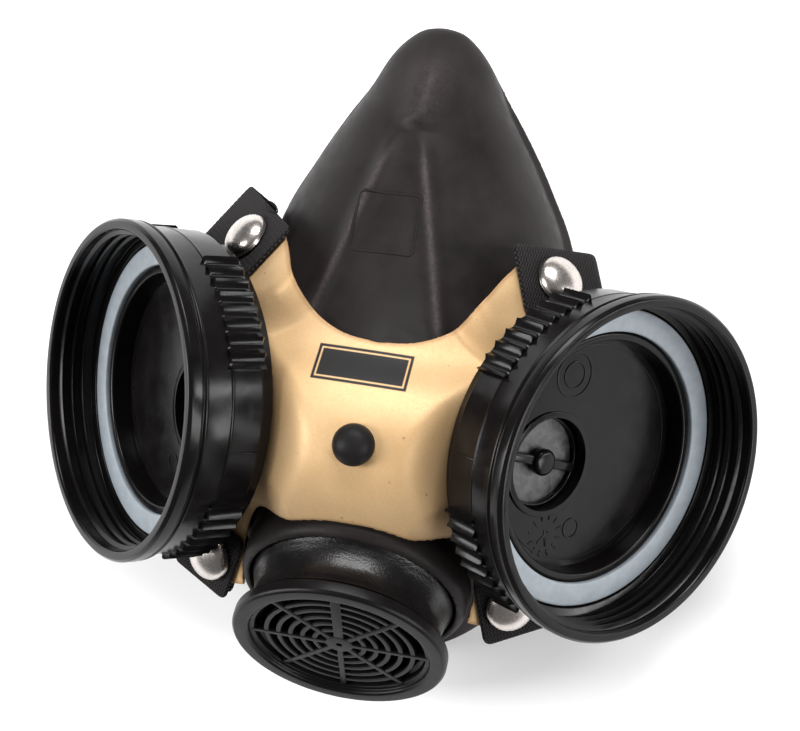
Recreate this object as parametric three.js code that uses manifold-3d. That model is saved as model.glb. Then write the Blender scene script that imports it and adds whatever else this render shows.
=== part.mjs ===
// Twin-cartridge half-mask respirator without its cartridges, lying on its face seal.
// Millimetres. +Z points away from the face, +Y toward the nose, +X to the viewer's right.
import * as THREE from 'three';
import { mergeVertices } from 'three/addons/utils/BufferGeometryUtils.js';
import Module from 'manifold-3d';

const wasm = await Module();
wasm.setup();

// ---------------------------------------------------------------- driving dimensions
const GAP = 0.3; // working clearance between neighbouring pieces

// cartridge receptacles: front rim centre, outward axis, radii and depths along the axis
const RIM_CENTRE = [64.4, -19.3, 54];
const RIM_AXIS = [0.729, -0.1905, 0.657];
const RIM_R = 42;
const CUP_DEPTH = 24;
const FLOOR_DEPTH = 18.4;
const GASKET_DEPTH = 12.4;
const PORT_INWARD = 10.5; // port centre, toward the midline
const PORT_CHINWARD = 4.3; // and toward the chin
const PORT_R = 11.5;
const NECK_R = 13.6;
const THREAD_TURNS = 2.5;
const THREAD_PITCH = 3.6;
const RIB_TURN = { 1: 49, '-1': 60 }; // turn of the grip ribs in degrees, right and left side
const FLAP_DEPTH = 22.4; // closed inhalation flap, behind the rim

// facepiece shell
const WALL = 2.8;
const POLE = [0, -8];
const NOSE_Y = 86;
const CHIN_Y = -73.5;
const ROLL = 4.2; // height of the widest contour above the rolled seal edge

// exhalation valve: seat centre on the chin wall and outward axis
const EXHALE_SEAT = [0, -53.3, 33.1];
const EXHALE_AXIS = [0, -0.855, 0.5186];
const BEAD_R = 28.3;
const COVER_R = 26.6;
const COVER_FACE = 22;

// yoke plate and its four riveted webbing ends
const PLATE_T = 1.2;
const PAD_DEPTH = CUP_DEPTH + 0.7; // plate face behind each receptacle
const RIVET_SEATS = {
  upper: { at: [37.9, 23.1, 46.4], normal: [0.589, 0.368, 0.718], along: [1, 0.36, 0] },
  lower: { at: [37.6, -54.8, 28.6], normal: [0.45, -0.36, 0.82], along: [1, 0.3, 0] },
};
// how far each strap hangs turned about its rivet, degrees
const STRAP_TURN = { upper_right: 0, upper_left: -21, lower_right: 0, lower_left: 0 };
const WEB_W = 19;
const WEB_T = 1.4;
const STUD_Y = -24;

// ---------------------------------------------------------------- small helpers
const V = (a) => new THREE.Vector3(...a);
const { sin, cos, PI, hypot, min, max, abs, sqrt } = Math;
const mirrored = (a, side) => [a[0] * side, a[1], a[2]];

// Smooth curve through [position, value] pairs that never overshoots a level stretch.
function curve(pairs) {
  const n = pairs.length;
  const slope = pairs.map((p, i) => {
    const a = pairs[max(i - 1, 0)];
    const b = pairs[min(i + 1, n - 1)];
    const turns = (p[1] - a[1]) * (b[1] - p[1]) <= 0 && i > 0 && i < n - 1;
    return turns ? 0 : (b[1] - a[1]) / (b[0] - a[0]);
  });
  return (t) => {
    if (t <= pairs[0][0]) return pairs[0][1];
    if (t >= pairs[n - 1][0]) return pairs[n - 1][1];
    let i = 0;
    while (pairs[i + 1][0] < t) i += 1;
    const h = pairs[i + 1][0] - pairs[i][0];
    const u = (t - pairs[i][0]) / h;
    const [u2, u3] = [u * u, u * u * u];
    return (2 * u3 - 3 * u2 + 1) * pairs[i][1] + (u3 - 2 * u2 + u) * h * slope[i]
      + (3 * u2 - 2 * u3) * pairs[i + 1][1] + (u3 - u2) * h * slope[i + 1];
  };
}

// A closed three.js geometry as a manifold solid facing out.
function solid(geometry) {
  const bare = geometry.clone();
  bare.deleteAttribute('normal');
  bare.deleteAttribute('uv');
  const merged = mergeVertices(bare, 1e-4);
  const p = merged.getAttribute('position');
  const index = merged.getIndex().array;
  const tris = [];
  let volume = 0;
  for (let i = 0; i < index.length; i += 3) {
    const [a, b, c] = [index[i], index[i + 1], index[i + 2]];
    if (a === b || b === c || a === c) continue;
    tris.push(a, b, c);
    const [A, B, C] = [a, b, c].map((k) => new THREE.Vector3().fromBufferAttribute(p, k));
    volume += A.dot(B.cross(C));
  }
  if (volume < 0) for (let i = 0; i < tris.length; i += 3) tris.splice(i, 2, tris[i + 1], tris[i]);
  return new wasm.Manifold(new wasm.Mesh({
    numProp: 3, vertProperties: new Float32Array(p.array), triVerts: new Uint32Array(tris),
  }));
}

// Frame with local Z along an axis and local X as near a hint as it can be.
function frame(at, axis, hint) {
  const z = V(axis).normalize();
  const x = V(hint).addScaledVector(z, -V(hint).dot(z)).normalize();
  const y = new THREE.Vector3().crossVectors(z, x);
  return new THREE.Matrix4().makeBasis(x, y, z).setPosition(...at);
}
const placed = (body, matrix) => body.transform(Array.from(matrix.elements));
const shifted = (matrix, x, y, z) => matrix.clone().multiply(new THREE.Matrix4().makeTranslation(x, y, z));

// Revolve [radius, height] pairs about Z. A profile off the axis closes on itself.
function lathe(profile, segments = 32) {
  const closed = profile.some(([r]) => r === 0) ? profile : [...profile, profile[0]];
  const points = closed.map(([r, h]) => new THREE.Vector2(r, h));
  return solid(new THREE.LatheGeometry(points, segments).rotateX(PI / 2));
}
const cylinder = (r, from, to, segments = 28) => lathe([[0, from], [r, from], [r, to], [0, to]], segments);
const tube = (inner, outer, from, to, segments = 28) => (
  lathe([[inner, from], [outer, from], [outer, to], [inner, to]], segments));
const box = (x, y, z, at) => solid(new THREE.BoxGeometry(x, y, z).translate(...at));
const turned = (body, degrees) => body.rotate([0, 0, degrees]);
const joined = (bodies) => bodies.reduce((a, b) => a.add(b));

// Closed skin over a grid of rings; the first and last ring shrink to a point.
function skin(rings) {
  const n = rings[0].length;
  const points = rings.flat();
  const index = [];
  for (let i = 0; i + 1 < rings.length; i += 1) {
    for (let j = 0; j < n; j += 1) {
      const [a, b] = [i * n + j, i * n + ((j + 1) % n)];
      index.push(a, b, a + n, b, b + n, a + n);
    }
  }
  const g = new THREE.BufferGeometry();
  g.setAttribute('position', new THREE.Float32BufferAttribute(points.flat(), 3));
  g.setIndex(index);
  return solid(g);
}

// ---------------------------------------------------------------- part list
const group = new THREE.Group();
group.name = 'respirator';
const FINISH = {
  facepieceRubber: { color: 0x2a2828, roughness: 0.72, metalness: 0 },
  softRubber: { color: 0x1f1e1e, roughness: 0.6, metalness: 0 },
  flapRubber: { color: 0x3a3c3c, roughness: 0.55, metalness: 0 },
  plastic: { color: 0x161515, roughness: 0.32, metalness: 0 },
  gasket: { color: 0x808990, roughness: 0.6, metalness: 0 },
  anodised: { color: 0xcda676, roughness: 0.36, metalness: 1 },
  nickel: { color: 0xc8c6c2, roughness: 0.16, metalness: 1 },
  webbing: { color: 0x131313, roughness: 0.95, metalness: 0 },
};
function piece(name, body, finish) {
  const m = body.getMesh();
  const g = new THREE.BufferGeometry();
  g.setAttribute('position', new THREE.BufferAttribute(new Float32Array(m.vertProperties), 3));
  g.setIndex(new THREE.BufferAttribute(new Uint32Array(m.triVerts), 1));
  g.computeVertexNormals();
  const mesh = new THREE.Mesh(g, new THREE.MeshStandardMaterial(FINISH[finish]));
  mesh.name = name;
  group.add(mesh);
}

// ---------------------------------------------------------------- shared frames
const SIDES = { right: 1, left: -1 };
const cupFrame = (side) => frame(
  mirrored(RIM_CENTRE, side), mirrored(RIM_AXIS, side), [-side, 0, 0.9]);
const portFrame = (side) => shifted(cupFrame(side), PORT_INWARD, side * PORT_CHINWARD, 0);
const exhaleFrame = frame(EXHALE_SEAT, EXHALE_AXIS, [1, 0, 0]);

// ---------------------------------------------------------------- yoke plate surface
const plateCrest = curve([[-76, 12], [-66, 24], [-57, 37.4], [-49, 49.5], [-41, 61.5], [-32, 68.6],
  [-22, 71], [-11, 68.6], [0, 62.2], [11, 60.6], [22, 60.8], [34, 60], [46, 58]]);
const plateFall = curve([[-76, 0.0075], [-57, 0.0072], [-40, 0.005], [-22, 0.0035], [0, 0.005],
  [12, 0.008], [24, 0.0102], [46, 0.0102]]);
function softMin(a, b, k) {
  const h = max(k - abs(a - b), 0) / k;
  return min(a, b) - h * h * k * 0.25;
}
// Height of the pad plane lying a given depth behind a receptacle rim.
function padPlane(x, y, depth) {
  const [a, c] = [RIM_AXIS, RIM_CENTRE];
  return c[2] + (-depth - a[0] * (abs(x) - c[0]) - a[1] * (y - c[1])) / a[2];
}
function plateHeight(x, y) {
  let z = softMin(plateCrest(y) - plateFall(y) * x * x, padPlane(x, y, PAD_DEPTH), 5);
  for (const { at, normal } of Object.values(RIVET_SEATS)) {
    const away = hypot(abs(x) - at[0], y - at[1]);
    const t = min(max((27 - away) / 12, 0), 1);
    const seat = at[2] - (normal[0] * (abs(x) - at[0]) + normal[1] * (y - at[1])) / normal[2];
    z += (seat - z) * t * t * (3 - 2 * t);
  }
  return softMin(z, padPlane(x, y, PAD_DEPTH), 1.5);
}
function plateNormal(x, y) {
  const e = 0.05;
  return V([
    (plateHeight(x - e, y) - plateHeight(x + e, y)) / (2 * e),
    (plateHeight(x, y - e) - plateHeight(x, y + e)) / (2 * e), 1]).normalize();
}
// Slab following the plate surface from one offset to another along its normal.
function plateSlab(lower, upper) {
  const [x0, x1, nx, y0, y1, ny] = [-56, 56, 18, -72, 40, 18];
  const points = [];
  for (const offset of [lower, upper]) {
    for (let j = 0; j <= ny; j += 1) {
      for (let i = 0; i <= nx; i += 1) {
        const [x, y] = [x0 + ((x1 - x0) * i) / nx, y0 + ((y1 - y0) * j) / ny];
        const n = plateNormal(x, y).multiplyScalar(offset);
        points.push(x + n.x, y + n.y, plateHeight(x, y) + n.z);
      }
    }
  }
  const row = nx + 1;
  const layer = row * (ny + 1);
  const index = [];
  for (let j = 0; j < ny; j += 1) {
    for (let i = 0; i < nx; i += 1) {
      const a = j * row + i;
      index.push(a, a + row, a + 1, a + 1, a + row, a + row + 1);
      const b = a + layer;
      index.push(b, b + 1, b + row, b + 1, b + row + 1, b + row);
    }
  }
  const rim = [];
  for (let i = 0; i < nx; i += 1) rim.push(i);
  for (let j = 0; j < ny; j += 1) rim.push(j * row + nx);
  for (let i = nx; i > 0; i -= 1) rim.push(ny * row + i);
  for (let j = ny; j > 0; j -= 1) rim.push(j * row);
  rim.forEach((a, k) => {
    const b = rim[(k + 1) % rim.length];
    index.push(a, b, a + layer, b, b + layer, a + layer);
  });
  const g = new THREE.BufferGeometry();
  g.setAttribute('position', new THREE.Float32BufferAttribute(points, 3));
  g.setIndex(index);
  return solid(g);
}
// Right half of the plate edge in plan, from the nose arc round both arms to the chin arc.
const PLATE_EDGE = [[0, 1.2], [9, 2.6], [17, 7], [23, 14.5], [27, 22.5], [31, 28.2], [36.6, 30.8],
  [42.4, 29.6], [45.8, 25.4], [45.8, 19], [42.4, 12.6], [44.4, 3], [49.6, -7], [51, -18], [50, -29],
  [46, -37], [41.6, -43.6], [42.2, -49.6], [41.8, -56], [37.8, -60.2], [31.6, -59], [27, -54],
  [22, -47], [12, -41.6], [0, -40]];
function plateOutline(margin) {
  const half = new THREE.CatmullRomCurve3(PLATE_EDGE.map(([x, y]) => V([x, y, 0])), false, 'centripetal')
    .getPoints(34).map((p) => [p.x, p.y]);
  const loop = [...half, ...half.slice(1, -1).reverse().map(([x, y]) => [-x, y])];
  const shape = new THREE.Shape(loop.map(([x, y], i) => {
    const [a, b] = [loop[(i + loop.length - 1) % loop.length], loop[(i + 1) % loop.length]];
    const t = new THREE.Vector2(b[0] - a[0], b[1] - a[1]).normalize();
    return new THREE.Vector2(x - t.y * margin, y + t.x * margin);
  }));
  return solid(new THREE.ExtrudeGeometry(shape, { depth: 100, bevelEnabled: false }).translate(0, 0, 4));
}

// ---------------------------------------------------------------- facepiece shell
const SEAL_EDGE = [[0, CHIN_Y], [19.5, -69.6], [32, -60.6], [41, -49.6], [46.4, -38], [49, -26],
  [49.3, -12], [48.3, 2], [46, 15], [43.5, 26], [40.8, 35], [37.6, 43], [33.2, 50.6], [28.6, 58],
  [23.6, 65], [18.4, 71.6], [13.6, 77.8], [9.6, 82], [5.4, 84.9], [0, NOSE_Y]];
const sealRise = curve([[CHIN_Y, 0.9], [-62, 0], [8, 0], [30, 3.2], [50, 10], [68, 20.5], [80, 30],
  [NOSE_Y, 34]]);
const shellCrest = curve([[CHIN_Y, 5.1], [-71.2, 6.2], [-67, 9.8], [-61, 20], [-54, 31.5], [-46, 44.4],
  [-39, 55.8], [-31, 65], [-22, 69], [-11, 66.8], [0, 60.6], [14, 57.2], [32, 54.4], [50, 51.2],
  [66, 48], [77, 45], [82.5, 42.3], [85, 40.2], [NOSE_Y, 38.2]]);
const sectionPower = curve([[-70, 2.6], [-40, 2.3], [-15, 2.0], [20, 1.75], [50, 1.6], [NOSE_Y, 1.7]]);

const COLUMNS = 42;
const halfEdge = new THREE.CatmullRomCurve3(SEAL_EDGE.map(([x, y]) => V([x, y, 0])), false, 'centripetal')
  .getPoints(400);
const halfWidth = curve(halfEdge.filter((p, i) => i % 10 === 0).map((p) => [p.y, p.x]));
// Running measure along the half outline: length plus turning, so tight bends get more points.
const TURN_WEIGHT = 26;
const travel = [0];
for (let k = 1; k < halfEdge.length; k += 1) {
  const step = halfEdge[k].distanceTo(halfEdge[k - 1]);
  const [a, b, c] = [halfEdge[max(k - 2, 0)], halfEdge[k - 1], halfEdge[k]];
  const turn = k > 1 ? b.clone().sub(a).angleTo(c.clone().sub(b)) : 0;
  travel.push(travel[k - 1] + step + TURN_WEIGHT * turn);
}
// Outline points from chin to nose and back, with their inward plan normals.
const edge = Array.from({ length: COLUMNS }, (_, j) => {
  const side = j <= COLUMNS / 2 ? 1 : -1;
  const share = (side > 0 ? j : COLUMNS - j) / (COLUMNS / 2);
  const want = share * travel[travel.length - 1];
  let k = 1;
  while (k < halfEdge.length - 1 && travel[k] < want) k += 1;
  const [a, b] = [halfEdge[k - 1], halfEdge[k]];
  const p = a.clone().lerp(b, min(max((want - travel[k - 1]) / (travel[k] - travel[k - 1]), 0), 1));
  const t = b.clone().sub(a).normalize();
  const tip = share === 0 || share === 1;
  const inward = tip ? [0, -Math.sign(p.y)] : [-t.y * side, t.x];
  return { x: tip ? 0 : p.x * side, y: p.y, inward };
});
function shellHeight(x, y) {
  const foot = sealRise(y) + ROLL;
  const u = min(abs(x) / max(halfWidth(y), 0.01), 1);
  return foot + max(shellCrest(y) - foot, 0) * sqrt(max(1 - u ** sectionPower(y), 0));
}
const SHELL_ROWS = 10;
function shellPoint(j, t) {
  const r = sin((t * PI) / 2);
  const x = edge[j].x * r;
  const y = POLE[1] + (edge[j].y - POLE[1]) * r;
  return t >= 1 ? [x, y, sealRise(y) + ROLL] : [x, y, shellHeight(x, y)];
}
function shellNormal(j, t) {
  const [a, b] = [shellPoint(j, max(t - 0.02, 0)), shellPoint(j, min(t + 0.02, 0.999))];
  const [c, d] = [shellPoint((j + 1) % COLUMNS, t), shellPoint((j + COLUMNS - 1) % COLUMNS, t)];
  if (t > 0.985) return V([-edge[j].inward[0], -edge[j].inward[1], 0]);
  if (t < 0.01) return V([0, 0, 1]);
  const n = V(b).sub(V(a)).cross(V(c).sub(V(d))).normalize();
  return n.z < 0 ? n.negate() : n;
}
function shellRing(t, offset) {
  return edge.map((_, j) => {
    const p = V(shellPoint(j, t)).addScaledVector(shellNormal(j, t), offset);
    return [p.x, p.y, p.z];
  });
}
// Rolled seal edge: fraction of the lip depth inward, height above the widest contour.
const LIP_UNDER = [[0.05, -2.4], [0.16, -4.2], [0.55, -3.6], [1, -0.9]];
const LIP_OVER = [[1, 0.6], [0.5, -1.9]];
function lipRing([inset, drop]) {
  return edge.map(({ x, y, inward }) => {
    const depth = min(12, 0.62 * max(halfWidth(y), 9.5)) * inset;
    return [x + inward[0] * depth, y + inward[1] * depth, sealRise(y) + ROLL + drop];
  });
}
const down = Array.from({ length: SHELL_ROWS + 1 }, (_, i) => i / SHELL_ROWS);
const up = [...down].reverse();
const shell = skin([
  ...down.map((t) => shellRing(t, 0)), ...LIP_UNDER.map(lipRing), ...LIP_OVER.map(lipRing),
  ...up.map((t) => shellRing(t, -WALL)),
]);
const cavityFloor = edge.map(({ x, y, inward }) => [x + inward[0] * WALL, y + inward[1] * WALL, -20]);
const cavity = skin([
  ...down.map((t) => shellRing(t, -WALL)), cavityFloor, cavityFloor.map(() => [0, POLE[1], -20]),
]);

const PAD_FACE = PAD_DEPTH + PLATE_T + GAP;
const PAD_BACK = PAD_FACE + 3.2;
const NUT_SEAT_R = 18.6;
let facepiece = shell;
for (const side of Object.values(SIDES)) {
  const pad = placed(cylinder(NUT_SEAT_R + 3, -PAD_BACK - 10, -PAD_FACE), portFrame(side));
  facepiece = facepiece.add(pad.subtract(cavity));
}
const boss = placed(cylinder(26.6, -14, 0, 36), exhaleFrame);
const bead = placed(lathe([[24, -3], [26.6, -3], [27.9, -2.2], [BEAD_R, 0], [BEAD_R, 3.4], [27.7, 5.6],
  [26.7, 6.6], [25.9, 6.2], [25.9, 0], [24, 0]], 36), exhaleFrame);
facepiece = facepiece.add(boss.subtract(cavity)).add(bead);
for (const side of Object.values(SIDES)) {
  facepiece = facepiece
    .subtract(placed(cylinder(NUT_SEAT_R, -PAD_BACK - 12, -PAD_BACK), portFrame(side)))
    .subtract(placed(cylinder(NECK_R + GAP, -PAD_BACK - 1, -10), portFrame(side)))
    .subtract(placed(cylinder(RIM_R + 1, -CUP_DEPTH - 0.6, 0), cupFrame(side)));
}
const throughChin = joined([cylinder(20.3, -8, 2), cylinder(24, -16, -3), cylinder(25.8, 0, 12)]);
const beadSweep = (clearance) => placed(cylinder(BEAD_R + clearance, -8, 40), exhaleFrame);
facepiece = facepiece
  .subtract(placed(throughChin, exhaleFrame))
  .subtract(plateSlab(-PLATE_T - GAP, 14).intersect(plateOutline(1)).subtract(beadSweep(0.2)))
  .subtract(cylinder(1.9, 40, 80, 16).translate([0, STUD_Y, 0]));
piece('facepiece', facepiece, 'facepieceRubber');

// ---------------------------------------------------------------- yoke plate and centre stud
const rivetFrame = (level, side) => {
  const { at, normal, along } = RIVET_SEATS[level];
  return frame(mirrored(at, side), mirrored(normal, side), mirrored(along, side));
};
let plate = plateSlab(-PLATE_T, 0).intersect(plateOutline(0)).subtract(beadSweep(0.7))
  .subtract(cylinder(2.3, 40, 80, 16).translate([0, STUD_Y, 0]));
for (const side of Object.values(SIDES)) {
  plate = plate.subtract(placed(cylinder(NECK_R + 0.5, -40, -10), portFrame(side)));
  for (const level of ['upper', 'lower']) {
    plate = plate.subtract(placed(cylinder(2.1, -8, 8, 16), rivetFrame(level, side)));
  }
}
piece('yoke_plate', plate, 'anodised');

const studBase = plateHeight(0, STUD_Y) + GAP;
const stud = lathe([[0, -9.2], [3.4, -9.2], [3.4, -8.1], [1.6, -7.8], [1.6, 0], [4.9, 0], [5, 0.9],
  [4.6, 2.3], [3.5, 3.6], [1.9, 4.4], [0, 4.6]], 16).translate([0, STUD_Y, studBase]);
piece('centre_stud', stud, 'softRubber');

// ---------------------------------------------------------------- exhalation valve
const valveBody = lathe([[17.5, -5.6], [23.4, -5.6], [23.4, -3.3], [20, -3.3], [20, 0.3], [25.5, 0.3],
  [25.5, 6.2], [24.2, 9.6], [23.5, 14], [23.5, 17.7], [21.6, 17.7], [21.6, 8.6], [20.6, 8.6],
  [20.6, 6], [17.5, 6]], 40);
piece('valve_body', placed(valveBody, exhaleFrame), 'plastic');

const spoke = (width, from, to, low, high) => (
  box(to - from, width, high - low, [(from + to) / 2, 0, (low + high) / 2]));
const fan = (count, body, start = 0) => joined(
  Array.from({ length: count }, (_, k) => turned(body, start + (360 * k) / count)));
const exhaleSeat = tube(15, 20.3, 6.3, 8.3, 32).add(fan(4, spoke(2, 2.2, 15.5, 6.3, 7.9), 45))
  .add(tube(1.5, 3.4, 6.3, 7.9, 24));
piece('exhalation_seat', placed(exhaleSeat, exhaleFrame), 'plastic');

const exhaleFlap = lathe([[0, 3], [1.9, 3], [1.9, 3.9], [1.1, 4.3], [1.1, 8.7], [16.6, 8.7], [16.6, 9.3],
  [3.4, 9.5], [2.4, 10.6], [0, 10.9]], 24);
piece('exhalation_flap', placed(exhaleFlap, exhaleFrame), 'flapRubber');

const GRILLE_R = 22.7;
const RINGS = [7.4, 12.6, 17.8];
let cover = lathe([[19.8, 12.4], [21.2, 12.4], [21.2, 18.1], [25.9, 18.1], [COVER_R, 18.7],
  [COVER_R, 21.3], [25.9, COVER_FACE], [GRILLE_R, COVER_FACE], [GRILLE_R - 0.4, 20.4], [21.4, 20.4],
  [21.4, 18.9], [19.8, 18.1]], 36);
cover = cover.add(fan(8, spoke(1.5, 2.4, 21.8, 18.9, 20.4), 22.5))
  .add(cylinder(3.4, 18.9, 20.4, 24));
for (const r of RINGS) cover = cover.add(tube(r - 0.65, r + 0.65, 18.9, 20.4, 24));
piece('valve_cover', placed(cover, exhaleFrame), 'plastic');

// ---------------------------------------------------------------- receptacles and inhalation valves
// Helical thread ridge on the inner wall of a receptacle.
function threadRidge() {
  const perTurn = 20;
  const rows = Math.round(perTurn * THREAD_TURNS);
  const rings = [];
  const section = [[39.4, -1], [38, 0], [39.4, 1]];
  for (let i = 0; i <= rows; i += 1) {
    const a = (2 * PI * i) / perTurn;
    const fade = min(1, i / 6, (rows - i) / 6);
    const h = -1.9 - (THREAD_PITCH * i) / perTurn;
    rings.push(section.map(([r, z]) => {
      const rr = r > 39 ? r : 39.1 - (39.1 - r) * fade;
      return [rr * cos(a), rr * sin(a), h + z];
    }));
  }
  const cap = (ring) => {
    const c = [0, 1, 2].map((k) => ring.reduce((s, p) => s + p[k], 0) / ring.length);
    return ring.map(() => c);
  };
  return skin([cap(rings[0]), ...rings, cap(rings[rings.length - 1])]);
}
// Groups of grip ribs around the rear half of the wall.
function gripRibs(side) {
  const bars = [];
  for (let g = 0; g < 4; g += 1) {
    for (let k = 0; k < 8; k += 1) {
      const degrees = side * (RIB_TURN[side] + 90 * g + (k - 3.5) * 5.3);
      bars.push(turned(box(1.6, 1.7, 9.6, [40.35, 0, -16.2]), degrees));
    }
  }
  return joined(bars);
}
const ridge = threadRidge();
const cupWall = lathe([
  [39.2, -0.5], [39.7, 0], [41.4, 0], [RIM_R, -0.7], [RIM_R, -4.4], [40.6, -5], [40, -20.6],
  [37.8, -CUP_DEPTH], [36, -CUP_DEPTH], [36, -21], [28.4, -21], [28.4, -18.4], [28.8, -13.3],
  [30.8, -13.3], [30.8, -14.7], [37.2, -14.7], [37.2, -12.4], [39.2, -11.9]], 40);
for (const [name, side] of Object.entries(SIDES)) {
  const cup = cupFrame(side);
  const port = portFrame(side);
  const local = (body) => body.translate([PORT_INWARD, side * PORT_CHINWARD, 0]);
  const receptacle = cupWall.add(ridge).add(gripRibs(side))
    .add(cylinder(28.6, -21, -FLOOR_DEPTH, 40))
    .add(local(cylinder(17, -CUP_DEPTH - 0.4, -20)))
    .add(local(cylinder(NECK_R, -PAD_BACK - 4.4, -22)))
    .add(local(tube(PORT_R, PORT_R + 1.6, -19, -FLOOR_DEPTH + 0.5)))
    .subtract(local(cylinder(PORT_R, -60, 0)));
  piece(`receptacle_${name}`, placed(receptacle, cup), 'plastic');
  piece(`gasket_${name}`, placed(tube(31.1, 36.8, -GASKET_DEPTH - 2, -GASKET_DEPTH, 40), cup), 'gasket');

  const nut = tube(NECK_R + GAP, NUT_SEAT_R - 0.5, -PAD_BACK - 3.6, -PAD_BACK - GAP, 32)
    .subtract(fan(4, box(3, 3.4, 9, [18.2, 0, -PAD_BACK - 2]), 45));
  piece(`lock_nut_${name}`, placed(nut, port), 'plastic');

  const valve = shifted(port, 0, 0, -FLAP_DEPTH);
  const spider = tube(9.8, PORT_R - GAP, 0.3, 2.3, 32)
    .add(box(2 * 10, 2.4, 1.5, [0, 0, 1.5]))
    .add(lathe([[0, -5.4], [1.8, -5.4], [1.8, -4.6], [1.1, -4.2], [1.1, 0.8], [3, 1.2], [3, 3],
      [0, 3.6]], 12));
  piece(`inhalation_seat_${name}`, placed(spider, valve), 'plastic');
  piece(`inhalation_flap_${name}`, placed(tube(1.45, 10.9, -0.8, 0, 32), valve), 'flapRubber');
}

// ---------------------------------------------------------------- rivets and webbing ends
const NEAR = 0.25; // webbing layer above the plate face
const FAR = -PLATE_T - 0.25; // and below the plate
function webbing(near, far, bend) {
  const mid = (NEAR + FAR) / 2;
  const [inner, outer] = [(NEAR - FAR) / 2, (NEAR - FAR) / 2 + WEB_T];
  const shape = new THREE.Shape();
  shape.moveTo(-near, NEAR);
  shape.lineTo(-near, NEAR + WEB_T);
  shape.lineTo(bend, NEAR + WEB_T);
  shape.absarc(bend, mid, outer, PI / 2, -PI / 2, true);
  shape.lineTo(-far, FAR - WEB_T);
  shape.lineTo(-far, FAR);
  shape.lineTo(bend, FAR);
  shape.absarc(bend, mid, inner, -PI / 2, PI / 2, false);
  const strip = new THREE.ExtrudeGeometry(shape, { depth: WEB_W, bevelEnabled: false, curveSegments: 5 });
  return solid(strip.translate(0, 0, -WEB_W / 2).rotateX(PI / 2)).subtract(cylinder(2.2, -9, 9, 16));
}
const DOME = NEAR + WEB_T + GAP;
const TAIL = FAR - WEB_T - GAP;
const rivet = lathe([[0, TAIL - 1.7], [2.6, TAIL - 1.7], [2.6, TAIL - 1.1], [1.7, TAIL - 1.1], [1.7, DOME],
  [6.1, DOME], [6.3, DOME + 0.5], [5.6, DOME + 1.9], [3.9, DOME + 3.1], [0, DOME + 3.9]], 16);
const washer = tube(2.0, 4.8, TAIL - 0.8, TAIL, 16);
for (const [name, side] of Object.entries(SIDES)) {
  for (const [level, near, far, bend] of [['upper', 11.5, 12, 13.2], ['lower', 8, 7, 9.2]]) {
    const at = rivetFrame(level, side);
    const end = turned(webbing(near, far, bend), STRAP_TURN[`${level}_${name}`]);
    piece(`strap_${level}_${name}`, placed(end, at), 'webbing');
    piece(`rivet_${level}_${name}`, placed(rivet, at), 'nickel');
    piece(`washer_${level}_${name}`, placed(washer, at), 'nickel');
  }
}

export default group;
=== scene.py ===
"""Looks of a twin-cartridge half-mask respirator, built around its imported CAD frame.

Shapes are worked out in millimetres: +Z out of the face, +Y toward the nose and +X to the
viewer's right. They turn into Blender's metres when each piece is finished.
"""
import math

import bpy
import numpy as np
from mathutils import Matrix, Vector, noise
from mathutils.kdtree import KDTree


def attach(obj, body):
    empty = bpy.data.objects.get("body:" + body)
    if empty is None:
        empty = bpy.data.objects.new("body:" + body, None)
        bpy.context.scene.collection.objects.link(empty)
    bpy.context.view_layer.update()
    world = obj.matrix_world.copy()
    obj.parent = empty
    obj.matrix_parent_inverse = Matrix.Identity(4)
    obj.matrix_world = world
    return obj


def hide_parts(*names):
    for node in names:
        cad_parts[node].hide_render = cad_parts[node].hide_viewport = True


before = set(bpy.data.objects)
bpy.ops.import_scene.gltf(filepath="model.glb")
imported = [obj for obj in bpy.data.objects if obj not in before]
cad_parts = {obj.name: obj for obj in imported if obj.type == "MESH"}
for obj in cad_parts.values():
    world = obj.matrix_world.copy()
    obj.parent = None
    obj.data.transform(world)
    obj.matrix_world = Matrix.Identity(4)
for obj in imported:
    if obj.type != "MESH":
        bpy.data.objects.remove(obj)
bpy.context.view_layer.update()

MM = 0.001
SIDES = {"right": 1, "left": -1}

# ---------------------------------------------------------------- driving dimensions (mm)
GAP = 0.3
RIM_CENTRE = (64.4, -19.3, 54.0)      # cartridge receptacle: front rim centre and outward axis
RIM_AXIS = (0.729, -0.1905, 0.657)
RIM_R = 42.0
CUP_DEPTH = 24.0
FLOOR_DEPTH = 18.4
GASKET_DEPTH = 12.4
PORT_INWARD = 10.5
PORT_CHINWARD = 4.3
PORT_R = 11.5
NECK_R = 13.6
THREAD_TURNS = 3.2
THREAD_PITCH = 2.9
RIB_TURN = {"right": 49, "left": 60}    # degrees
FLUTES, FLUTE_PITCH = 8, 5.3           # per grip group, in degrees
FLAP_DEPTH = 22.4
DIAL = (5.2, 21.4)                     # moulded marks on the receptacle floor
DISC = (-2.7, 18.7)
EMBLEM = (10.1, -17.9)

WALL = 2.8
POLE_Y = -8.0
NOSE_Y = 86.0
CHIN_Y = -73.5
ROLL = 4.2

EXHALE_SEAT = (0.0, -53.3, 33.1)
EXHALE_AXIS = (0.0, -0.855, 0.5186)
BEAD_R = 28.8
COVER_R = 26.6
COVER_FACE = 22.0

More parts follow.
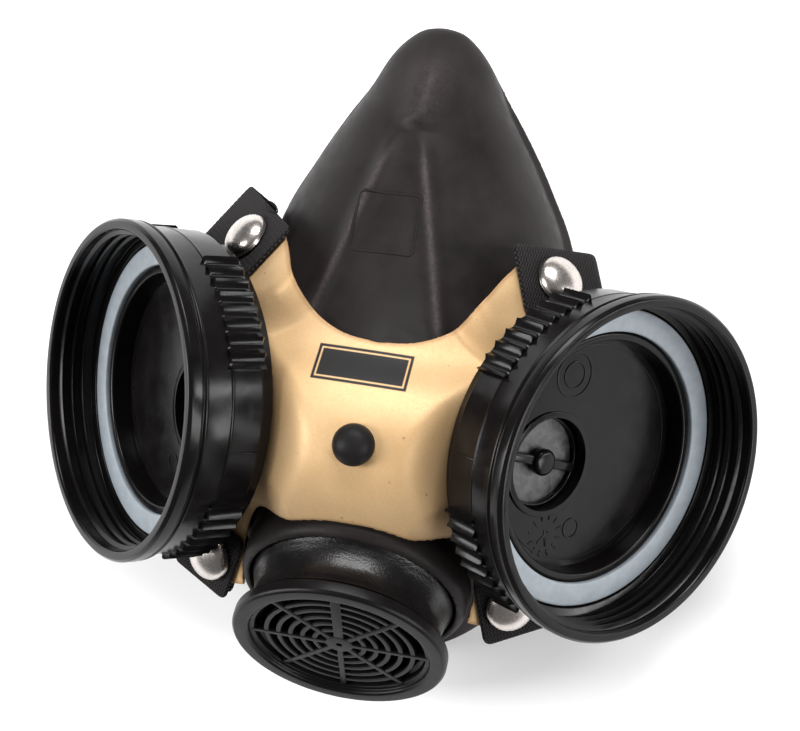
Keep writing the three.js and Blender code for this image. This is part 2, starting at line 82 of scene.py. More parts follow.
PLATE_T = 1.2
PAD_DEPTH = CUP_DEPTH + 0.7
PAD_FACE = PAD_DEPTH + PLATE_T + GAP
PAD_BACK = PAD_FACE + 3.2
NUT_SEAT_R = 18.6
STUD_Y = -24.0
RIVETS = {                             # seat point, normal, and the webbing's direction
    "upper": ((37.9, 23.1, 46.4), (0.589, 0.368, 0.718), (1.0, 0.36, 0.0)),
    "lower": ((37.6, -54.8, 28.6), (0.45, -0.36, 0.82), (1.0, 0.3, 0.0)),
}
STRAP_TURN = {"upper_right": 0, "upper_left": -21, "lower_right": 0, "lower_left": 0}   # degrees
WEB_W = 19.0
WEB_T = 1.4
LOWER_RUN = (8.0, 9.2, 180, 1.55, 16.2)
WEB_RUN = {                            # inside the rivet, out to the bend, its degrees and radius, past it
    "upper_right": (11.5, 12.4, 46, 3.4, 21.0),
    "upper_left": (11.5, 16.6, 62, 5.0, 15.0),
    "lower_right": LOWER_RUN,
    "lower_left": LOWER_RUN,
}
RIB_PITCH = 1.35                       # knit ribs of the webbing
BADGE = (-2.1, -5.4)                   # middle of the plate's plain badge

# the photo's viewpoint, in the part's frame
CAMERA_AT = (61.5, -41.4, 443.2)
CAMERA_BACK = (0.143, -0.098, 0.985)
CAMERA_RIGHT = (0.979, 0.163, -0.1255)
CAMERA_LENS = 74.3


# ---------------------------------------------------------------- curves and frames
def unit(v):
    v = np.asarray(v, float)
    return v / np.linalg.norm(v)


def mirrored(v, side):
    return (v[0] * side, v[1], v[2])


def frame_at(at, axis, hint):
    """Placement with local Z along axis and local X as near hint as it can be."""
    z = unit(axis)
    x = unit(np.asarray(hint, float) - np.dot(hint, z) * z)
    y = np.cross(z, x)
    m = Matrix.Identity(4)
    for row in range(3):
        m[row] = (x[row], y[row], z[row], at[row])
    return m


def curve(pairs):
    """Smooth curve through (position, value) pairs that never overshoots a level stretch."""
    place, value = np.array(pairs, float).T
    step, rise = np.diff(place), np.diff(value)
    slope = np.empty_like(place)
    slope[1:-1] = (value[2:] - value[:-2]) / (place[2:] - place[:-2])
    slope[1:-1][rise[1:] * rise[:-1] <= 0] = 0
    slope[0], slope[-1] = rise[0] / step[0], rise[-1] / step[-1]

    def at(t):
        t = np.clip(np.asarray(t, float), place[0], place[-1])
        i = np.clip(np.searchsorted(place, t) - 1, 0, len(step) - 1)
        u = (t - place[i]) / step[i]
        return ((2 * u**3 - 3 * u**2 + 1) * value[i] + (u**3 - 2 * u**2 + u) * step[i] * slope[i]
                + (3 * u**2 - 2 * u**3) * value[i + 1] + (u**3 - u**2) * step[i] * slope[i + 1])
    return at


def through(points, per=24):
    """Centripetal Catmull-Rom curve through plan points."""
    p = np.array(points, float)
    p = np.vstack([2 * p[0] - p[1], p, 2 * p[-1] - p[-2]])
    out = []
    u = np.arange(per)[:, None] / per
    for a, b, c, d in zip(p, p[1:], p[2:], p[3:]):
        k0, k1, k2 = (np.linalg.norm(q - r) ** 0.5 for q, r in ((b, a), (c, b), (d, c)))
        leave = ((b - a) / k0 - (c - a) / (k0 + k1) + (c - b) / k1) * k1
        arrive = ((c - b) / k1 - (d - b) / (k1 + k2) + (d - c) / k2) * k1
        out.append((2 * u**3 - 3 * u**2 + 1) * b + (u**3 - 2 * u**2 + u) * leave
                   + (3 * u**2 - 2 * u**3) * c + (u**3 - u**2) * arrive)
    return np.vstack([*out, p[-2:-1]])


def smoothstep(low, high, t):
    u = np.clip((np.asarray(t, float) - low) / (high - low), 0, 1)
    return u * u * (3 - 2 * u)


def soft_min(a, b, k):
    h = np.maximum(k - np.abs(a - b), 0) / k
    return np.minimum(a, b) - h * h * k * 0.25


def rounded(profile, radius, steps=4, closed=True):
    """A profile whose corners are eased by about radius."""
    p = np.array(profile, float)
    out = []
    for i, here in enumerate(p):
        if not closed and i in (0, len(p) - 1):
            out.append(here)
            continue
        before, after = p[i - 1] - here, p[(i + 1) % len(p)] - here
        a, b = np.linalg.norm(before), np.linalg.norm(after)
        reach = min(radius, 0.45 * a, 0.45 * b)
        start, end = here + before / a * reach, here + after / b * reach
        for k in range(steps + 1):
            t = k / steps
            out.append((1 - t) ** 2 * start + 2 * t * (1 - t) * here + t * t * end)
    return out


# ---------------------------------------------------------------- mesh building
def solid(name, points, faces):
    mesh = bpy.data.meshes.new(name)
    mesh.from_pydata([tuple(p) for p in points], [], faces)
    mesh.update()
    obj = bpy.data.objects.new(name, mesh)
    bpy.context.scene.collection.objects.link(obj)
    return obj


def outward(obj):
    """Turns every face to point out of the closed solid."""
    mesh = obj.data
    mesh.calc_loop_triangles()
    corners = np.empty(len(mesh.loop_triangles) * 3, int)
    mesh.loop_triangles.foreach_get("vertices", corners)
    a, b, c = points_of(obj)[corners].reshape(-1, 3, 3).transpose(1, 0, 2)
    if (a * np.cross(b, c)).sum() < 0:
        mesh.flip_normals()
    return obj


def skin(name, rings):
    """Closed skin over rings of points; a ring of one point is a pole, and no pole closes it round."""
    points, starts = [], []
    for ring in rings:
        starts.append(len(points))
        points.extend(ring)
    faces = []
    count = max(len(r) for r in rings)
    pairs = [(i, i + 1) for i in range(len(rings) - 1)]
    if len(rings[0]) > 1:
        pairs.append((len(rings) - 1, 0))
    for i, k in pairs:
        lone_i, lone_k = len(rings[i]) == 1, len(rings[k]) == 1
        for j in range(count):
            n = (j + 1) % count
            a, b = starts[i] + (0 if lone_i else j), starts[i] + (0 if lone_i else n)
            c, d = starts[k] + (0 if lone_k else n), starts[k] + (0 if lone_k else j)
            corners = ((a, True), (b, not lone_i), (c, True), (d, not lone_k))
            faces.append([v for v, keep in corners if keep])
    return outward(solid(name, points, faces))


def capped(name, rings):
    """Closed skin over a run of rings, with each end drawn in to its middle."""
    near, far = ([tuple(np.mean(ring, axis=0))] for ring in (rings[0], rings[-1]))
    return skin(name, [near, *rings, far])


def paint(obj, name, values):
    """Gives each point of the mesh a number that its material can read."""
    layer = obj.data.attributes.new(name, "FLOAT", "POINT")
    layer.data.foreach_set("value", np.asarray(values, np.float32))


def lathe(name, profile, segments=128):
    """Closed solid turned about local Z from (radius, height) pairs."""
    angle = np.linspace(0, 2 * math.pi, segments, endpoint=False)
    rings = []
    for r, h in profile:
        if abs(r) < 1e-9:
            rings.append([(0, 0, h)])
        else:
            rings.append(np.column_stack([r * np.cos(angle), r * np.sin(angle), np.full(segments, h)]))
    return skin(name, rings)


def cylinder(r, low, high, segments=96):
    return lathe("cylinder", [(0, low), (r, low), (r, high), (0, high)], segments)


def tube(inner, outer, low, high, ease=0.2, segments=128):
    profile = [(inner, low), (outer, low), (outer, high), (inner, high)]
    return lathe("tube", rounded(profile, ease, 3), segments)


def block(size, at, ease=0.3):
    """Box with eased edges."""
    x, y, z = (0.5 * s for s in size)
    points = [(i * x, j * y, k * z) for k in (-1, 1) for j in (-1, 1) for i in (-1, 1)]
    faces = [(0, 2, 3, 1), (4, 5, 7, 6), (0, 1, 5, 4), (2, 6, 7, 3), (0, 4, 6, 2), (1, 3, 7, 5)]
    obj = solid("block", points, faces)
    if ease:
        bevel = obj.modifiers.new("ease", "BEVEL")
        bevel.width, bevel.segments = ease, 3
        settle(obj)
    obj.data.transform(Matrix.Translation(at))
    return obj


def settle(obj):
    """Applies the object's modifiers to its mesh."""
    graph = bpy.context.evaluated_depsgraph_get()
    made = bpy.data.meshes.new_from_object(obj.evaluated_get(graph))
    old = obj.data
    obj.modifiers.clear()
    obj.data = made
    bpy.data.meshes.remove(old)
    return obj


def combine(obj, tool, operation):
    """Joins tool to obj or cuts it from obj, and uses tool up."""
    change = obj.modifiers.new("combine", "BOOLEAN")
    change.operation, change.solver, change.object = operation, "MANIFOLD", tool
    settle(obj)
    bpy.data.objects.remove(tool)
    return obj


def add(obj, *tools):
    for tool in tools:
        combine(obj, tool, "UNION")
    return obj


def cut(obj, *tools):
    for tool in tools:
        combine(obj, tool, "DIFFERENCE")
    return obj


def put(obj, matrix):
    obj.data.transform(matrix)
    if matrix.determinant() < 0:
        obj.data.flip_normals()
    return obj


def turned(obj, degrees):
    return put(obj, Matrix.Rotation(math.radians(degrees), 4, "Z"))


def fine_skin(obj, voxel, rounds):
    """Rebuilds a solid as one even skin whose edges and corners flow together."""
    remesh = obj.modifiers.new("even", "REMESH")
    remesh.mode, remesh.voxel_size, remesh.adaptivity = "VOXEL", voxel, 0
    smooth = obj.modifiers.new("flow", "SMOOTH")
    smooth.factor, smooth.iterations = 0.5, rounds
    return settle(obj)


def points_of(obj):
    co = np.empty(len(obj.data.vertices) * 3)
    obj.data.vertices.foreach_get("co", co)
    return co.reshape(-1, 3)


def set_points(obj, co):
    obj.data.vertices.foreach_set("co", np.asarray(co, float).ravel())
    obj.data.update()
    return obj


def finish_piece(obj, name, body, material, nodes=(), sharp=35):
    """Turns a millimetre solid into a finished piece that rides on its body."""
    obj.name = obj.data.name = name
    obj.data.transform(Matrix.Scale(MM, 4))
    obj.data.polygons.foreach_set("use_smooth", [True] * len(obj.data.polygons))
    obj.data.set_sharp_from_angle(angle=math.radians(sharp))
    obj.data.materials.clear()
    obj.data.materials.append(material)
    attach(obj, body)
    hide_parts(*nodes)
    return obj


# ---------------------------------------------------------------- materials
class Finish:
    """A principled material whose procedural nodes are added one line each. Sizes are in mm."""

    def __init__(self, name, **values):
        self.material = bpy.data.materials.new(name)
        self.material.use_nodes = True
        self.nodes, self.links = self.material.node_tree.nodes, self.material.node_tree.links
        self.surface = self.nodes["Principled BSDF"]
        for socket, value in values.items():
            self.surface.inputs[socket.replace("_", " ")].default_value = value
        self.place = self.nodes.new("ShaderNodeTexCoord").outputs["Object"]
        self.last_bump = None

    def link(self, source, target):
        if isinstance(source, (int, float)):
            target.default_value = source
        elif isinstance(source, tuple):
            target.default_value = (*source, 1) if len(source) == 3 else source
        else:
            self.links.new(source, target)

    def noise(self, size, detail=3.0, rough=0.55):
        node = self.nodes.new("ShaderNodeTexNoise")
        self.link(self.place, node.inputs["Vector"])
        node.inputs["Scale"].default_value = 1 / (size * MM)
        node.inputs["Detail"].default_value = detail
        node.inputs["Roughness"].default_value = rough
        return node.outputs["Fac"]

    def cells(self, size):
        node = self.nodes.new("ShaderNodeTexVoronoi")
        self.link(self.place, node.inputs["Vector"])
        node.inputs["Scale"].default_value = 1 / (size * MM)
        return node.outputs["Distance"]

    def ramp(self, value, low, high, to_low=0.0, to_high=1.0):
        node = self.nodes.new("ShaderNodeMapRange")
        self.link(value, node.inputs["Value"])
        limits = {"From Min": low, "From Max": high, "To Min": to_low, "To Max": to_high}
        for socket, number in limits.items():
            node.inputs[socket].default_value = number
        return node.outputs["Result"]

    def math(self, operation, a, b=0.0):
        node = self.nodes.new("ShaderNodeMath")
        node.operation = operation
        self.link(a, node.inputs[0])
        self.link(b, node.inputs[1])
        return node.outputs[0]

    def mix(self, share, a, b):
        node = self.nodes.new("ShaderNodeMix")
        node.data_type = "RGBA"
        for source, target in ((share, "Factor_Float"), (a, "A_Color"), (b, "B_Color")):
            self.link(source, next(i for i in node.inputs if i.identifier == target))
        return next(o for o in node.outputs if o.identifier == "Result_Color")

    def attribute(self, name):
        node = self.nodes.new("ShaderNodeAttribute")
        node.attribute_name = name
        return node.outputs["Fac"]

    def axis(self, name):
        node = self.nodes.new("ShaderNodeSeparateXYZ")
        self.link(self.place, node.inputs[0])
        return node.outputs[name]

    def bump(self, height, depth):
        node = self.nodes.new("ShaderNodeBump")
        node.inputs["Distance"].default_value = depth * MM
        self.link(height, node.inputs["Height"])
        if self.last_bump is not None:
            self.link(self.last_bump, node.inputs["Normal"])
        self.last_bump = node.outputs["Normal"]
        self.links.new(self.last_bump, self.surface.inputs["Normal"])

    def colour(self, source):
        self.link(source, self.surface.inputs["Base Color"])

    def roughness(self, source):
        self.link(source, self.surface.inputs["Roughness"])


def srgb(r, g, b):
    """Linear colour from 0-255 display values."""
    return tuple((v / 12.92 if v <= 0.04045 else ((v + 0.055) / 1.055) ** 2.4)
                 for v in (r / 255, g / 255, b / 255))


# painted highlight colour for the rubber's nose ridges and beak
RIDGE_HIGHLIGHT_GREY = srgb(84, 79, 77)
WORN_PLASTIC = srgb(78, 75, 73)


def rubber_finish(name, dark, light, roughness, grain=0.02):
    f = Finish(name, Specular_IOR_Level=0.08)
    clouds = f.noise(16, 4)
    base = f.mix(f.ramp(clouds, 0.3, 0.75), srgb(*dark), srgb(*light))
    # Painted highlight: the facepiece's nose ridges and beak are painted a lighter grey, broken up by
    # noise.
    ridge_highlight = f.math("MULTIPLY", f.attribute("ridge_highlight"), f.ramp(f.noise(0.9, 5, 0.6), 0.35, 0.7, 0.25, 0.6))
    f.colour(f.mix(ridge_highlight, base, RIDGE_HIGHLIGHT_GREY))
    f.roughness(f.ramp(f.noise(4, 4), 0.3, 0.7, roughness - 0.06, roughness + 0.08))
    f.bump(f.noise(0.35, 2), grain)
    f.bump(f.noise(3.0, 2), 0.05)
    return f.material


def plastic_finish(name, dark, light, roughness, shine=0.12, grain=0.003):
    """Black moulded plastic: faint flow marks, fine scratches and pale nicks scattered over it."""
    f = Finish(name, Specular_IOR_Level=shine)
    haze = f.noise(6, 4, 0.6)
    wear = f.math("MULTIPLY", f.ramp(f.noise(1.6, 6, 0.75), 0.68, 0.76), 0.5)
    base = f.mix(f.ramp(f.noise(9, 3), 0.3, 0.7), srgb(*dark), srgb(*light))
    f.colour(f.mix(wear, base, WORN_PLASTIC))
    f.roughness(f.ramp(haze, 0.35, 0.7, roughness - 0.04, roughness + 0.08))
    f.bump(f.noise(0.4, 2), grain)
    f.bump(f.noise(5, 2), 0.012)
    return f.material


def gold_finish():
    """Satin gold plate: fine grain, small flecks and painted shade darkening it near its edges and round
    the bead, with a plain badge.
    """
    f = Finish("gold_plate", Specular_IOR_Level=0.3)
    x, y = f.axis("X"), f.axis("Y")

    def inside(axis, centre, half, soft=0.12):
        away = f.math("ABSOLUTE", f.math("SUBTRACT", axis, centre * MM))
        return f.ramp(away, (half - soft) * MM, (half + soft) * MM, 1.0, 0.0)

    def panel(half_x, half_y):
        return f.math("MULTIPLY", inside(x, BADGE[0], half_x), inside(y, BADGE[1], half_y))
    fleck = f.ramp(f.cells(5.5), 0.035, 0.075, 1.0, 0.0)
    dust = f.ramp(f.noise(1.1, 6, 0.75), 0.60, 0.72)
    clouds = f.ramp(f.noise(22, 3), 0.35, 0.7)
    gold = f.mix(clouds, srgb(203, 170, 127), srgb(192, 158, 114))
    grain = f.ramp(f.noise(0.5, 3, 0.6), 0.35, 0.65, 0.0, 0.16)
    gold = f.mix(grain, gold, srgb(150, 118, 78))
    gold = f.mix(f.math("MULTIPLY", dust, 0.22), gold, srgb(168, 128, 84))
    gold = f.mix(f.math("MULTIPLY", fleck, 0.6), gold, srgb(104, 78, 52))
    # Painted shade: the plate is darkened along its outline and round the bead.
    gold = f.mix(f.math("MULTIPLY", f.attribute("edge_shade"), 0.55), gold, srgb(128, 92, 58))
    outer, line, heart = panel(11.4, 4.5), panel(10.7, 3.8), panel(10.3, 3.4)
    badge = f.math("SUBTRACT", outer, f.math("SUBTRACT", line, heart))
    f.colour(f.mix(badge, gold, srgb(11, 9, 9)))
    f.link(f.ramp(badge, 0, 1, 0.3, 0.0), f.surface.inputs["Metallic"])
    f.roughness(f.ramp(f.noise(0.6, 4), 0.3, 0.7, 0.46, 0.58))
    f.bump(f.noise(0.22, 2), 0.010)
    f.bump(f.noise(9, 2), 0.06)
    return f.material


def nickel_finish():
    f = Finish("nickel", Metallic=1.0)
    f.colour(f.mix(f.ramp(f.noise(2.5, 4), 0.35, 0.7), srgb(196, 189, 184), srgb(178, 171, 166)))
    f.roughness(f.ramp(f.noise(0.8, 6, 0.7), 0.4, 0.7, 0.25, 0.31))
    f.bump(f.noise(2.4, 2), 0.004)
    return f.material


def gasket_finish():
    f = Finish("gasket_foam")
    f.colour(f.mix(f.ramp(f.noise(3, 5), 0.3, 0.7), srgb(118, 125, 131), srgb(130, 137, 143)))
    f.roughness(f.ramp(f.noise(1, 3), 0.3, 0.7, 0.5, 0.65))
    f.bump(f.noise(0.25, 3), 0.03)
    return f.material


def flap_finish():
    f = Finish("flap_rubber")
    mottle = f.noise(2.6, 6, 0.7)
    f.colour(f.mix(f.ramp(mottle, 0.42, 0.62), srgb(16, 16, 16), srgb(62, 62, 63)))
    f.roughness(f.ramp(mottle, 0.4, 0.7, 0.42, 0.6))
    f.bump(mottle, 0.05)
    return f.material


def webbing_finish():
    """Black knit webbing: the stitches run as small slanted bars between the ribs."""
    f = Finish("knit_webbing", Sheen_Weight=0.03, Sheen_Roughness=0.6, Specular_IOR_Level=0.06)
    along, across = f.attribute("along"), f.attribute("across")
    slant = f.math("ADD", along, f.math("PINGPONG", across, RIB_PITCH / 2))
    stitch = f.math("SINE", f.math("MULTIPLY", slant, 2 * math.pi / 0.85))
    f.colour(f.mix(f.ramp(stitch, -0.6, 0.9), srgb(9, 8, 9), srgb(46, 43, 43)))
    f.roughness(f.ramp(f.noise(0.6, 3), 0.3, 0.7, 0.82, 0.96))
    f.bump(stitch, 0.07)
    f.bump(f.noise(0.18, 2), 0.03)
    return f.material


RUBBER = rubber_finish("facepiece_rubber", (25, 22, 22), (38, 34, 34), 0.46)
SOFT_RUBBER = rubber_finish("soft_rubber", (20, 19, 19), (30, 28, 28), 0.42)
PLASTIC = plastic_finish("black_plastic", (9, 8, 8), (15, 13, 13), 0.2, 0.14)
COVER = plastic_finish("cover_plastic", (12, 11, 11), (18, 16, 16), 0.3, 0.1)
PEBBLED = plastic_finish("pebbled_plastic", (11, 10, 10), (18, 16, 16), 0.3, 0.34, 0.05)
GOLD = gold_finish()
NICKEL = nickel_finish()
GASKET = gasket_finish()
FLAP = flap_finish()
WEBBING = webbing_finish()


# ---------------------------------------------------------------- shared placements
def cup_frame(side):
    return frame_at(mirrored(RIM_CENTRE, side), mirrored(RIM_AXIS, side), (-side, 0, 0.9))


def port_frame(side):
    return cup_frame(side) @ Matrix.Translation((PORT_INWARD, side * PORT_CHINWARD, 0))


def rivet_frame(level, side):
    at, normal, along = RIVETS[level]
    return frame_at(mirrored(at, side), mirrored(normal, side), mirrored(along, side))


EXHALE = frame_at(EXHALE_SEAT, EXHALE_AXIS, (1, 0, 0))

# ---------------------------------------------------------------- yoke plate surface
plate_crest = curve([(-76, 12), (-66, 24), (-57, 37.4), (-49, 49.5), (-41, 61.5), (-32, 68.6), (-22, 71),
                     (-11, 68.6), (0, 62.2), (11, 60.6), (22, 60.8), (34, 60), (46, 58)])
plate_fall = curve([(-76, .0075), (-57, .0072), (-40, .005), (-22, .0035), (0, .005), (12, .008),
                    (24, .0102), (46, .0102)])


def pad_plane(x, y, depth):
    """Height of the flat lying a given depth behind a receptacle rim."""
    a, c = RIM_AXIS, RIM_CENTRE
    return c[2] + (-depth - a[0] * (np.abs(x) - c[0]) - a[1] * (y - c[1])) / a[2]


def plate_height(x, y):
    pad = pad_plane(x, y, PAD_DEPTH)
    z = soft_min(plate_crest(y) - plate_fall(y) * x * x, pad, 5)
    for at, normal, _ in RIVETS.values():
        near = smoothstep(0, 1, (27 - np.hypot(np.abs(x) - at[0], y - at[1])) / 12)
        seat = at[2] - (normal[0] * (np.abs(x) - at[0]) + normal[1] * (y - at[1])) / normal[2]
        z = z + (seat - z) * near
    return soft_min(z, pad, 3.5)


def surface_normals(height, x, y, e=0.05):
    n = np.stack([(height(x - e, y) - height(x + e, y)) / (2 * e),
                  (height(x, y - e) - height(x, y + e)) / (2 * e), np.ones_like(x)], -1)
    return n / np.linalg.norm(n, axis=-1, keepdims=True)


def plate_slab(lower, upper, step=1.0):
    """Slab that follows the plate surface from one offset to another."""
    xs, ys = np.arange(-57, 57.01, step), np.arange(-72, 41.01, step)
    x, y = np.meshgrid(xs, ys)
    n = surface_normals(plate_height, x, y)
    base = np.stack([x, y, plate_height(x, y)], -1)
    layers = [(base + n * o).reshape(-1, 3) for o in (lower, upper)]
    rows, cols = x.shape
    size = rows * cols
    i, j = np.meshgrid(np.arange(rows - 1), np.arange(cols - 1), indexing="ij")
    a = (i * cols + j).ravel()
    under = np.column_stack([a, a + cols, a + cols + 1, a + 1])
    over = np.column_stack([a, a + 1, a + cols + 1, a + cols]) + size
    rim = [*range(cols), *range(2 * cols - 1, size, cols), *range(size - 2, size - cols - 1, -1),
           *range(size - 2 * cols, 0, -cols)]
    walls = [(p, q, q + size, p + size) for p, q in zip(rim, rim[1:] + rim[:1])]
    return outward(solid("slab", np.vstack(layers), [*under.tolist(), *over.tolist(), *walls]))


PLATE_EDGE = [(0, 1.2), (9, 2.6), (17, 7), (23, 14.5), (27, 22.5), (31, 28.2), (36.6, 30.8), (42.4, 29.6),
              (45.8, 25.4), (45.8, 19), (42.4, 12.6), (44.4, 3), (49.6, -7), (51, -18), (50, -29),
              (46, -37), (41.6, -43.6), (42.2, -49.6), (41.8, -56), (37.8, -60.4), (32, -61.5),
              (24, -60), (12, -54), (0, -52)]


def plate_prism(margin):
    """Upright prism over the plate's plan outline, grown by a margin."""
    half = through(PLATE_EDGE, 12)
    loop = np.vstack([half, (half[1:-1] * (-1, 1))[::-1]])
    t = np.roll(loop, -1, 0) - np.roll(loop, 1, 0)
    t = t / np.linalg.norm(t, axis=1, keepdims=True)
    loop = loop + margin * np.column_stack([-t[:, 1], t[:, 0]])
    n = len(loop)
    points = [(*p, z) for z in (4, 104) for p in loop]
    faces = [tuple(range(n)), tuple(range(2 * n - 1, n - 1, -1))]
    faces += [(i + n, (i + 1) % n + n, (i + 1) % n, i) for i in range(n)]
    return outward(solid("prism", points, faces))


def bead_sweep(clearance):
    return put(cylinder(BEAD_R + clearance, -8, 40, 128), EXHALE)


# ---------------------------------------------------------------- facepiece
SEAL_EDGE = [(0, CHIN_Y), (19.5, -69.6), (32, -60.6), (41, -49.6), (46.4, -38), (49, -26),
             (49.3, -12), (48.3, 2), (46, 15), (43.5, 26), (40.8, 35), (37.6, 43), (33.2, 50.6),
             (28.6, 58), (23.6, 65), (18.4, 71.6), (13.6, 77.8), (9.6, 82), (5.4, 84.9), (0, NOSE_Y)]
seal_rise = curve([(CHIN_Y, .9), (-62, 0), (8, 0), (30, 3.2), (50, 10), (68, 20.5), (80, 30), (NOSE_Y, 34)])
shell_crest = curve([(CHIN_Y, 5.1), (-71.2, 6.2), (-67, 9.8), (-61, 20), (-54, 31.5), (-46, 44.4),
                     (-39, 55.8), (-31, 65), (-22, 69), (-11, 66.8), (0, 60.6), (14, 57.2), (32, 54.4),
                     (50, 51.2), (66, 48), (77, 45), (82.5, 42.3), (85, 40.2), (NOSE_Y, 38.2)])
section_power = curve([(-70, 2.6), (-40, 2.3), (-15, 2.0), (20, 1.75), (50, 1.6), (NOSE_Y, 1.7)])
half_edge = through(SEAL_EDGE, 40)
COLUMNS, ROWS = 260, 84
FLANGE = 2.3                            # how far the seal flange stands out beside the nose
NOSE_MIDLINE = -3.0                     # the soft nose leans a little to one side


def half_width(y):
    return np.interp(y, half_edge[:, 1], half_edge[:, 0])


def beak(x, y):
    """The roll below the tip: widest at the top, cut off short at its lower end."""
    fade = smoothstep(55.5, 59.5, y) * (1 - smoothstep(68, 84, y))
    return np.exp(-((x - 0.1 * (y - 74)) / (4.2 + 0.1 * (y - 57))) ** 2) * fade


def nose_ridges(x, y):
    """Share of the way up either of the two ridges that spread down the nose."""
    spread = 5.8 + (46 - y) * 0.26
    window = smoothstep(-4, 8, y) * (1 - smoothstep(46, 58, y))
    return np.exp(-((np.abs(x - NOSE_MIDLINE) - spread) / 2.1) ** 2) * window


def nose_relief(x, y):
    """A roll that runs down from the tip and ends in a beak, and two ridges that spread below it."""
    across = x - NOSE_MIDLINE
    spread = 5.8 + (46 - y) * 0.26
    ridges = 1.4 * nose_ridges(x, y)
    between = smoothstep(0, 14, y) * (1 - smoothstep(44, 57, y))
    hollow = -0.7 * np.exp(-(across / (0.55 * spread + 2)) ** 2) * between
    roll = 2.4 * beak(x, y)
    return ridges + hollow + roll


def shell_height(x, y):
    """Height of the rubber: a dome whose foot stands in from the seal flange along the nose."""
    foot = seal_rise(y) + ROLL
    flange = FLANGE * smoothstep(2, 24, y) * (1 - smoothstep(64, 80, y))
    reach = np.maximum(half_width(y) - flange, 0.01)
    u = np.minimum(np.abs(x) / reach, 1)
    ledge = np.clip((np.abs(x) - reach) / np.maximum(flange, 0.01), 0, 1)
    rise = 0.9 * flange * np.sqrt(1 - ledge * ledge)
    top = np.maximum(shell_crest(y) - foot - 0.9 * flange, 0)
    return foot + rise + top * np.sqrt(np.maximum(1 - u ** section_power(y), 0)) \
        + nose_relief(x, y) * smoothstep(1.0, 0.75, u)


def outline():
    """Seal outline points from chin round to chin, closer together on tight bends, and plan normals."""
    step = np.linalg.norm(np.diff(half_edge, axis=0), axis=1)
    way = np.diff(half_edge, axis=0) / step[:, None]
    turn = np.arccos(np.clip((way[1:] * way[:-1]).sum(1), -1, 1))
    travel = np.concatenate([[0], np.cumsum(step + 26 * np.concatenate([[0], turn]))])
    want = np.linspace(0, travel[-1], COLUMNS // 2 + 1)
    half = np.column_stack([np.interp(want, travel, half_edge[:, k]) for k in (0, 1)])
    loop = np.vstack([half, (half[1:-1] * (-1, 1))[::-1]])
    t = np.roll(loop, -1, 0) - np.roll(loop, 1, 0)
    t = t / np.linalg.norm(t, axis=1, keepdims=True)
    return loop, np.column_stack([-t[:, 1], t[:, 0]])


def shell():
    """Closed rubber shell: outer face, rolled seal lip, inner face."""
    loop, inward = outline()
    share = np.linspace(0, 1, ROWS + 1)[1:, None]
    r = np.sin(share * math.pi / 2)
    x = loop[:, 0] * r
    y = POLE_Y + (loop[:, 1] - POLE_Y) * r
    z = shell_height(x, y)
    z[-1] = seal_rise(y[-1]) + ROLL
    outer = np.stack([x, y, z], -1)
    pole = np.array([[0, POLE_Y, float(shell_height(np.zeros(1), np.array([POLE_Y]))[0])]])
    full = np.concatenate([np.broadcast_to(pole, (1, COLUMNS, 3)), outer])
    down = np.gradient(full, axis=0)[1:]
    round_ = np.roll(outer, -1, 1) - np.roll(outer, 1, 1)
    n = np.cross(round_, down)
    n /= np.maximum(np.linalg.norm(n, axis=-1, keepdims=True), 1e-9)
    n[n[..., 2] < 0] *= -1
    n[-1] = np.concatenate([-inward, np.zeros((COLUMNS, 1))], 1)
    inner = outer - WALL * n
    reach = np.minimum(12, 0.62 * np.maximum(half_width(loop[:, 1]), 9.5))

    def lip(inset, drop):
        plan = loop + inward * (reach * inset)[:, None]
        return np.column_stack([plan, seal_rise(loop[:, 1]) + ROLL + drop])
    drops = ((0.05, -2.4), (0.16, -4.0), (0.3, -4.2), (0.55, -3.6), (0.8, -2.4), (1, -0.9))
    under = [lip(*p) for p in drops]
    over = [lip(*p) for p in ((1.03, -0.1), (1, 0.6), (0.8, -0.6), (0.5, -1.9))]
    inner_pole = pole - (0, 0, WALL)
    return skin("facepiece", [pole, *outer, *under, *over, *inner[::-1], inner_pole])


def cavity():
    """What the face fills: cut from everything that is added to the shell."""
    loop, inward = outline()
    share = np.linspace(0, 1, 31)[1:, None]
    r = np.sin(share * math.pi / 2)
    x, y = loop[:, 0] * r, POLE_Y + (loop[:, 1] - POLE_Y) * r
    z = shell_height(x, y) - WALL
    z[-1] = seal_rise(y[-1]) + ROLL
    rings = [np.column_stack([a, b, c]) for a, b, c in zip(x * 0.965, y, z)]
    top = [(0, POLE_Y, float(shell_height(np.zeros(1), np.array([POLE_Y]))[0]) - WALL)]
    floor = np.column_stack([rings[-1][:, :2], np.full(COLUMNS, -20.0)])
    return skin("cavity", [top, *rings, floor, [(0, POLE_Y, -20)]])


